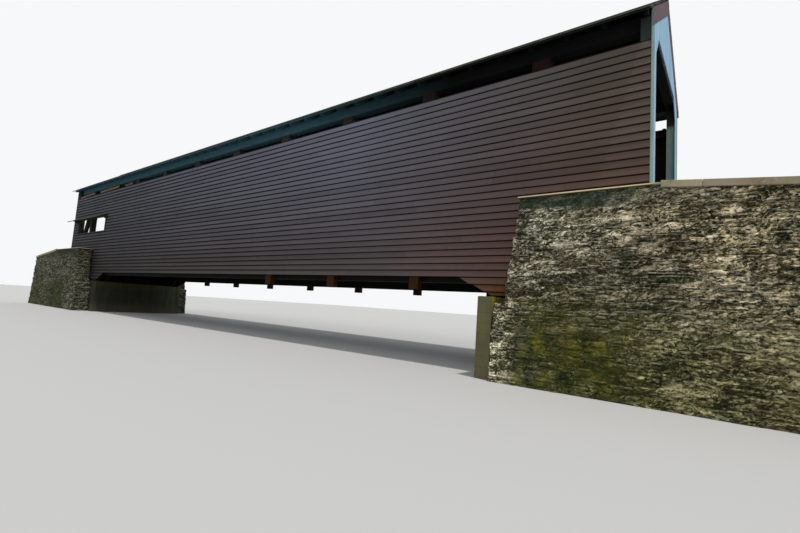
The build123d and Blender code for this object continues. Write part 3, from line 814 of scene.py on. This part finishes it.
def build_shingles(side, name, slant):
    """Courses of wooden shingles in random widths, each a wedge that lies on the course below."""
    show, length, butt, gap = 0.140, 0.34, 0.012, 0.004
    base = roof_board + butt * 1.55
    tail = roof_board + 0.001
    soup = Soup()
    for row in range(int((slant + 0.01) / show) + 1):
        low_edge = slant + 0.012 - row * show
        high_edge = max(low_edge - length, 0.012)
        if low_edge - high_edge < 0.06:
            continue
        x = roof_low[0] - rng.uniform(0.0, 0.06)
        while x < roof_high[0]:
            wide = rng.uniform(0.10, 0.19)
            left = max(x, roof_low[0])
            right = min(x + wide, roof_high[0])
            x += wide + gap
            if right - left < 0.03:
                continue
            edge = low_edge + rng.normal(0.0, 0.004)
            top = base + butt + abs(rng.normal(0.0, 0.0018))
            ring = [(edge, base), (edge, top), (high_edge, tail + 0.004), (high_edge, tail)]
            soup.loft([[roof_point(u, side, *p) for p in ring] for u in (left, right)], rng.random())
    soup.piece(f"{name}_roof_shingles", shingle, (f"{name}_roof",))


for side_name, side in sides:
    roof_slant = -roof_low[1] / math.cos(roof_angle)
    build_roof_boards(side, side_name, roof_slant)
    build_shingles(side, side_name, roof_slant)


# Deck
def build_deck():
    """Planks across the bridge with ragged ends."""
    gap, ragged = 0.003, 0.012
    soup = Soup()
    length = deck_high[0] - deck_low[0]
    count = round(length / 0.205)
    pitch = length / count
    for i in range(count):
        x = deck_low[0] + i * pitch
        drop = abs(rng.normal(0.0, 0.0022))
        soup.block(
            (x + gap, deck_low[1] + rng.uniform(0.0, ragged), deck_low[2]),
            (x + pitch - gap, deck_high[1] - rng.uniform(0.0, ragged), deck_high[2] - drop),
            rng.random(),
        )
    soup.piece("deck_planks", planks, ("deck",))


build_deck()


# Masonry
def soft_noise(u, v, size_u, size_v, seed):
    """Smooth random field between -1 and 1 over two coordinates, repeated after 256 cells."""
    cells = 256
    grid = np.random.default_rng(seed).uniform(-1.0, 1.0, (cells + 1, cells + 1))
    a = u / size_u
    b = v / size_v
    i = np.floor(a).astype(int)
    j = np.floor(b).astype(int)
    s = a - i
    t = b - j
    s = s * s * (3 - 2 * s)
    t = t * t * (3 - 2 * t)
    i %= cells
    j %= cells
    low = grid[i, j] * (1 - s) + grid[i + 1, j] * s
    high = grid[i, j + 1] * (1 - s) + grid[i + 1, j + 1] * s
    return low * (1 - t) + high * t


def ridges(u, v, size_u, size_v, seed):
    """Sharp-crested random field between 0 and 1."""
    return 1.0 - np.abs(soft_noise(u, v, size_u, size_v, seed))


def lay_stones(u0, u1, v0, v1, stones_rng):
    """Random rubble in thin beds: bands cut into lengths, each cut into beds, each bed into stones."""
    beds = [0.04, 0.055, 0.075, 0.1, 0.15]
    thinnest_band, thinnest_bed, shortest_stone = 0.15, 0.04, 0.10
    tiny = 1e-6
    stones = []
    v = v0
    while v < v1:
        band = stones_rng.uniform(0.18, 0.42)
        if v + band > v1 - thinnest_band:
            band = v1 - v
        u = u0 + stones_rng.uniform(-0.5, 0.0)
        while u < u1:
            run = stones_rng.uniform(0.30, 0.95)
            z = v
            while z < v + band - tiny:
                bed = stones_rng.choice(beds) * stones_rng.uniform(0.85, 1.2)
                if z + bed > v + band - thinnest_bed:
                    bed = v + band - z
                x = u
                while x < u + run - tiny:
                    long = stones_rng.uniform(1.4, 4.5) * bed + 0.05
                    if x + long > u + run - shortest_stone:
                        long = u + run - x
                    stones.append((x, x + long, z, z + bed))
                    x += long
                z += bed
            u += run
        v += band
    return stones


def stone_relief(u, v, seed):
    """Height, tone and joint value of rubble at each point of a wall face."""
    mortar, rounding, deepest, set_back = -0.034, 0.016, -0.090, 0.018
    stones_rng = np.random.default_rng(seed)
    warp_u = u + 0.060 * soft_noise(u, v, 0.17, 0.09, seed + 1)
    warp_u += 0.030 * soft_noise(u, v, 0.06, 0.04, seed + 7)
    warp_v = v + 0.030 * soft_noise(u, v, 0.20, 0.11, seed + 2)
    warp_v += 0.050 * soft_noise(u, v, 0.80, 0.50, seed + 3)
    height = np.full(u.shape, mortar)
    tone = np.full(u.shape, 0.4)
    joint = np.zeros(u.shape)
    area = (u.min() - 0.3, u.max() + 0.3, v.min() - 0.15, v.max() + 0.15)
    for x0, x1, z0, z1 in lay_stones(*area, stones_rng):
        proud = stones_rng.uniform(-0.024, 0.020)
        lean_u = stones_rng.normal(0.0, 0.07)
        lean_v = abs(stones_rng.normal(0.0, 0.22))
        shade = stones_rng.random()
        inside = (warp_u >= x0) & (warp_u < x1) & (warp_v >= z0) & (warp_v < z1)
        if not inside.any():
            continue
        a = warp_u[inside]
        b = warp_v[inside]
        edge = np.minimum(np.minimum(a - x0, x1 - a), np.minimum(b - z0, z1 - b))
        full = np.clip(edge / rounding, 0.0, 1.0)
        full = full * full * (3 - 2 * full)
        tilt = (a - (x0 + x1) / 2) * lean_u + (b - (z0 + z1) / 2) * lean_v
        height[inside] = mortar + full * (proud - mortar + np.clip(tilt, -0.018, 0.016))
        tone[inside] = shade
        joint[inside] = full
    split = ridges(u, v, 0.34, 0.085, seed + 4) * 0.020 + ridges(u, v, 0.15, 0.050, seed + 5) * 0.014
    split += soft_noise(u, v, 0.07, 0.040, seed + 6) * 0.009
    height += (split - 0.024) * (0.45 + 0.55 * joint)
    return np.clip(height - set_back, deepest, 0.0), tone, joint


def grid_mesh(name, points, keep_faces):
    """Mesh from a grid of points, rows by columns, with the wanted cells."""
    rows, columns, _ = points.shape
    index = np.arange(rows * columns).reshape(rows, columns)
    quads = np.stack([index[:-1, :-1], index[:-1, 1:], index[1:, 1:], index[1:, :-1]], axis=-1)[keep_faces]
    mesh = bpy.data.meshes.new(name)
    mesh.from_pydata(points.reshape(-1, 3).tolist(), [], quads.reshape(-1, 4).tolist())
    return mesh


def river_end(end, foot, heights, coping_top):
    """Place of the wing's end at the river by height: a battered foot, a step and a leaning upper part."""
    step_out = foot + end * 0.040
    step_in = step_out + end * 0.200
    top = step_in + end * 0.240
    lean = np.clip((heights - step_height) / (coping_top - coping_thin - step_height), 0.0, 1.0)
    lower = foot + (step_out - foot) * heights / step_height
    return np.where(heights <= step_height, lower, step_in + (top - step_in) * lean)


def round_columns(length, cell):
    """Columns of the grid round the wing: face 0 to 3 of each, and how far along the face it stands."""
    along_count = int(length / cell)
    across_count = int((wing_thickness + 0.030) / cell)
    back_count = int(length / (2.2 * cell))
    t = np.concatenate(
        [
            np.linspace(0, 1, along_count, endpoint=False),
            1 + np.linspace(0, 1, across_count, endpoint=False),
            2 + np.linspace(0, 1, back_count, endpoint=False),
            3 + np.linspace(0, 1, across_count + 1),
        ]
    )
    face = np.minimum(t.astype(int), 3)
    return face, t - face


def build_wing(end, side, name, cell):
    """Rubble wing wall: one closed skin round outer face, river end, inner face and far end."""
    low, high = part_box(name)
    foot, last = (low[0], high[0]) if end > 0 else (high[0], low[0])
    portal = end * half_length
    coping_top = coping_tops[end]
    rows = int(high[2] / cell) + 1
    heights = np.linspace(0.0, high[2], rows)
    river = river_end(end, foot, heights, coping_top)
    outer = wing_outer + wing_lean * (1 - heights / coping_top)
    face, share = round_columns(abs(last - foot), cell)
    columns = len(face)
    # Corners by height: far end outside, river end outside, river end inside, far end inside
    corner_x = np.stack(np.broadcast_arrays(last, river, river, last))
    corner_y = np.stack(np.broadcast_arrays(outer, outer, wing_inner, wing_inner))
    following = (face + 1) % 4
    x, y = ((c[face] + (c[following] - c[face]) * share[:, None]).T for c in (corner_x, corner_y))
    directions = np.array([(0.0, 1.0), (-end, 0.0), (0.0, -1.0), (end, 0.0)])
    outward = directions[face]
    for k in range(4):
        outward[np.argmax(face == k)] = (directions[k - 1] + directions[k]) * 0.7071
    outward[-1] = outward[0]
    # The top rows stop under the coping, which is thin beside the house and thick and falling beyond it
    z = np.repeat(heights[:, None], columns, axis=1)
    beyond = np.clip((x - portal) * end - slab_start, 0.0, None)
    slab_under = coping_thick - slab_rise + wing_grade * beyond
    ceiling = coping_top - np.where(beyond > 0.001, slab_under, coping_thin) + 0.004
    over = z > ceiling
    z = np.minimum(z, ceiling)
    height, tone, joint = np.zeros((3, rows, columns))
    seed = 100 + 10 * (end + 1) + (side + 1)
    for k in range(4):
        pick = face == k
        u = x[:, pick] if k in (0, 2) else y[:, pick] + 50.0 * (k + 1)
        relief, tone[:, pick], joint[:, pick] = stone_relief(u, z[:, pick], seed + 20 * k)
        # The inner face stays clear of the house
        height[:, pick] = np.minimum(relief - 0.012, -0.004) if k == 2 else relief
    for field in (height, tone, joint):
        field[:, -1] = field[:, 0]
    # A smooth damp band under the coping fades away from its middle, short of the portal
    band_depth, band_waver, band_middle, band_half = 0.34, 0.10, 1.6, 2.6
    reach = band_depth + band_waver * soft_noise(x, z, 0.7, 0.5, seed + 9)
    smear = np.clip((z - (ceiling - reach)) / 0.10, 0.0, 1.0)
    smear *= np.clip(1.3 - np.abs(x - portal + end * band_middle) / band_half, 0.0, 1.0)
    height = height * (1 - 0.85 * smear) - 0.010 * smear
    x += outward[:, 0] * height
    y += outward[:, 1] * height
    points = np.stack([x, side * y, z], axis=-1)
    collapsed = over[:-1, :-1] & over[:-1, 1:]
    mesh = grid_mesh(f"{name}_stones", points, ~collapsed)
    for label, values in (("tone", tone), ("joint", joint), ("band", smear)):
        add_field(mesh, label, values)
    finish_piece(mesh, f"{name}_stones", stone, (name,))


for end_name, end in ends:
    for side_name, side in sides:
        cell = 0.024 if (end_name, side_name) == ("right", "front") else 0.036
        build_wing(end, side, f"{end_name}_{side_name}_wing", cell)


# Copings
def slab_ring(end, side, inner, outer, x):
    """Section of a thick slab at a place along the wall, its outer edges chipped."""
    top = coping_tops[end] + slab_rise - wing_grade * (abs(x) - half_length - slab_start)
    under = top - coping_thick
    chip = 0.008
    return [
        (x, side * inner, under),
        (x, side * (outer - chip), under),
        (x, side * outer, under + chip),
        (x, side * outer, top - chip),
        (x, side * (outer - chip), top),
        (x, side * inner, top),
    ]


def build_coping(end, side, name):
    """Thin coping along the bridge and long slabs beyond the portal."""
    soup = Soup()
    low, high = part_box(name)
    coping_top = coping_tops[end]
    inner, outer = sorted((abs(low[1]), abs(high[1])))
    slabs = end * (half_length + slab_start)
    place, last = (low[0], high[0]) if end > 0 else (high[0], low[0])
    while (slabs - place) * end > 0.01:
        reach = place + end * rng.uniform(0.9, 1.5)
        if (slabs - reach) * end < 0.5:
            reach = slabs
        gap = 0.003 if reach != slabs else 0.0
        soup.block(
            (place, side * inner, coping_top - coping_thin),
            (reach - end * gap, side * outer, coping_top),
            rng.random(),
        )
        place = reach
    for length in (0.565, 1.42, 1.36, 1.31):
        reach = place + end * length
        if (last - reach) * end < 0.6:
            reach = last
        a = place + end * 0.003
        b = reach - end * 0.003 if reach != last else reach
        out = outer - rng.uniform(0.0, 0.006)
        soup.loft([slab_ring(end, side, inner, out, u) for u in (a, b)], rng.random())
        place = reach
        if reach == last:
            break
    soup.piece(f"{name}_slabs", coping_stone, (name,))


for end_name, end in ends:
    for side_name, side in sides:
        build_coping(end, side, f"{end_name}_{side_name}_coping")


# Materials of the pieces whose solids already have the right shape
def dress(name, material):
    thing = nodes[name]
    thing.data.materials.clear()
    thing.data.materials.append(material)


for side_name, side in sides:
    for part, material in (
        ("lower_chord", long_timber),
        ("upper_chord", eave_timber),
        ("posts", post_timber),
        ("corner_posts", grey_timber),
        ("braces", post_timber),
        ("arches", long_timber),
        ("wall_frame", post_timber),
        ("window_frame", hood_timber),
        ("hood", hood_timber),
        ("rafters", roof_timber),
    ):
        dress(f"{side_name}_{part}", material)
for end_name, end in ends:
    dress(f"{end_name}_facing", concrete)
    dress(f"{end_name}_abutment", stone)
dress("bed_timbers", cross_timber)
dress("floor_beams", cross_timber)
dress("floor_joists", long_timber)
dress("tie_beams", cross_timber)
dress("knee_braces", roof_timber)
dress("ridge_cap", shingle)


# Stage
def build_floor():
    g = Graph("pale_floor")
    g.colour = (0.46, 0.46, 0.455)
    g.close(0.9)
    mesh = bpy.data.meshes.new("floor")
    reach = 200.0
    corners = ((-1, -1), (1, -1), (1, 1), (-1, 1))
    mesh.from_pydata([(reach * x, reach * y, -0.002) for x, y in corners], [], [(0, 1, 2, 3)])
    mesh.materials.append(g.material)
    add_object("floor", mesh)


def build_world():
    """Soft studio light, and a pale background where the camera or a reflection sees it."""
    world = bpy.data.worlds.new("studio")
    bpy.context.scene.world = world
    world.use_nodes = True
    tree = world.node_tree
    light = tree.nodes["Background"]
    light.inputs["Color"].default_value = (0.93, 0.96, 1.0, 1.0)
    light.inputs["Strength"].default_value = 0.62
    shown = tree.nodes.new("ShaderNodeBackground")
    shown.inputs["Color"].default_value = (0.93, 0.94, 0.95, 1.0)
    path = tree.nodes.new("ShaderNodeLightPath")
    seen = tree.nodes.new("ShaderNodeMath")
    seen.operation = "MAXIMUM"
    mix = tree.nodes.new("ShaderNodeMixShader")
    tree.links.new(path.outputs["Is Camera Ray"], seen.inputs[0])
    tree.links.new(path.outputs["Is Glossy Ray"], seen.inputs[1])
    for number, node in enumerate((seen, light, shown)):
        tree.links.new(node.outputs[0], mix.inputs[number])
    tree.links.new(mix.outputs[0], tree.nodes["World Output"].inputs["Surface"])


def build_sun(name, direction, strength, angle, colour):
    lamp = bpy.data.lights.new(name, "SUN")
    lamp.energy = strength
    lamp.angle = math.radians(angle)
    lamp.color = colour
    add_object(name, lamp).rotation_euler = Vector(direction).to_track_quat("-Z", "Y").to_euler()


def build_camera():
    """Camera at the photograph's viewpoint, worked out from the side boards and uprights."""
    yaw, pitch, roll = (math.radians(a) for a in (-37.589, 5.367, 3.841))
    forward = Vector((math.sin(yaw) * math.cos(pitch), math.cos(yaw) * math.cos(pitch), math.sin(pitch)))
    level = Vector((math.cos(yaw), -math.sin(yaw), 0.0))
    up = level.cross(forward)
    right = level * math.cos(roll) + up * math.sin(roll)
    up = up * math.cos(roll) - level * math.sin(roll)
    camera = bpy.data.cameras.new("camera")
    camera.sensor_fit = "HORIZONTAL"
    camera.sensor_width = 36.0
    camera.lens = 19.59
    place = Vector((half_length + 1.162, -half_width - 8.689, siding_bottom - 0.793))
    rotation = Matrix((right, up, -forward)).transposed().to_4x4()
    thing = add_object("camera", camera)
    thing.matrix_world = Matrix.Translation(place) @ rotation
    bpy.context.scene.camera = thing


build_floor()
build_world()
build_sun("key", (-0.30, 0.10, -1.0), 2.3, 3.0, (1.0, 0.97, 0.92))
build_sun("fill", (-0.25, 0.85, -0.60), 0.60, 50.0, (0.98, 0.98, 1.0))
build_camera()
bpy.context.scene.view_settings.view_transform = "Standard"
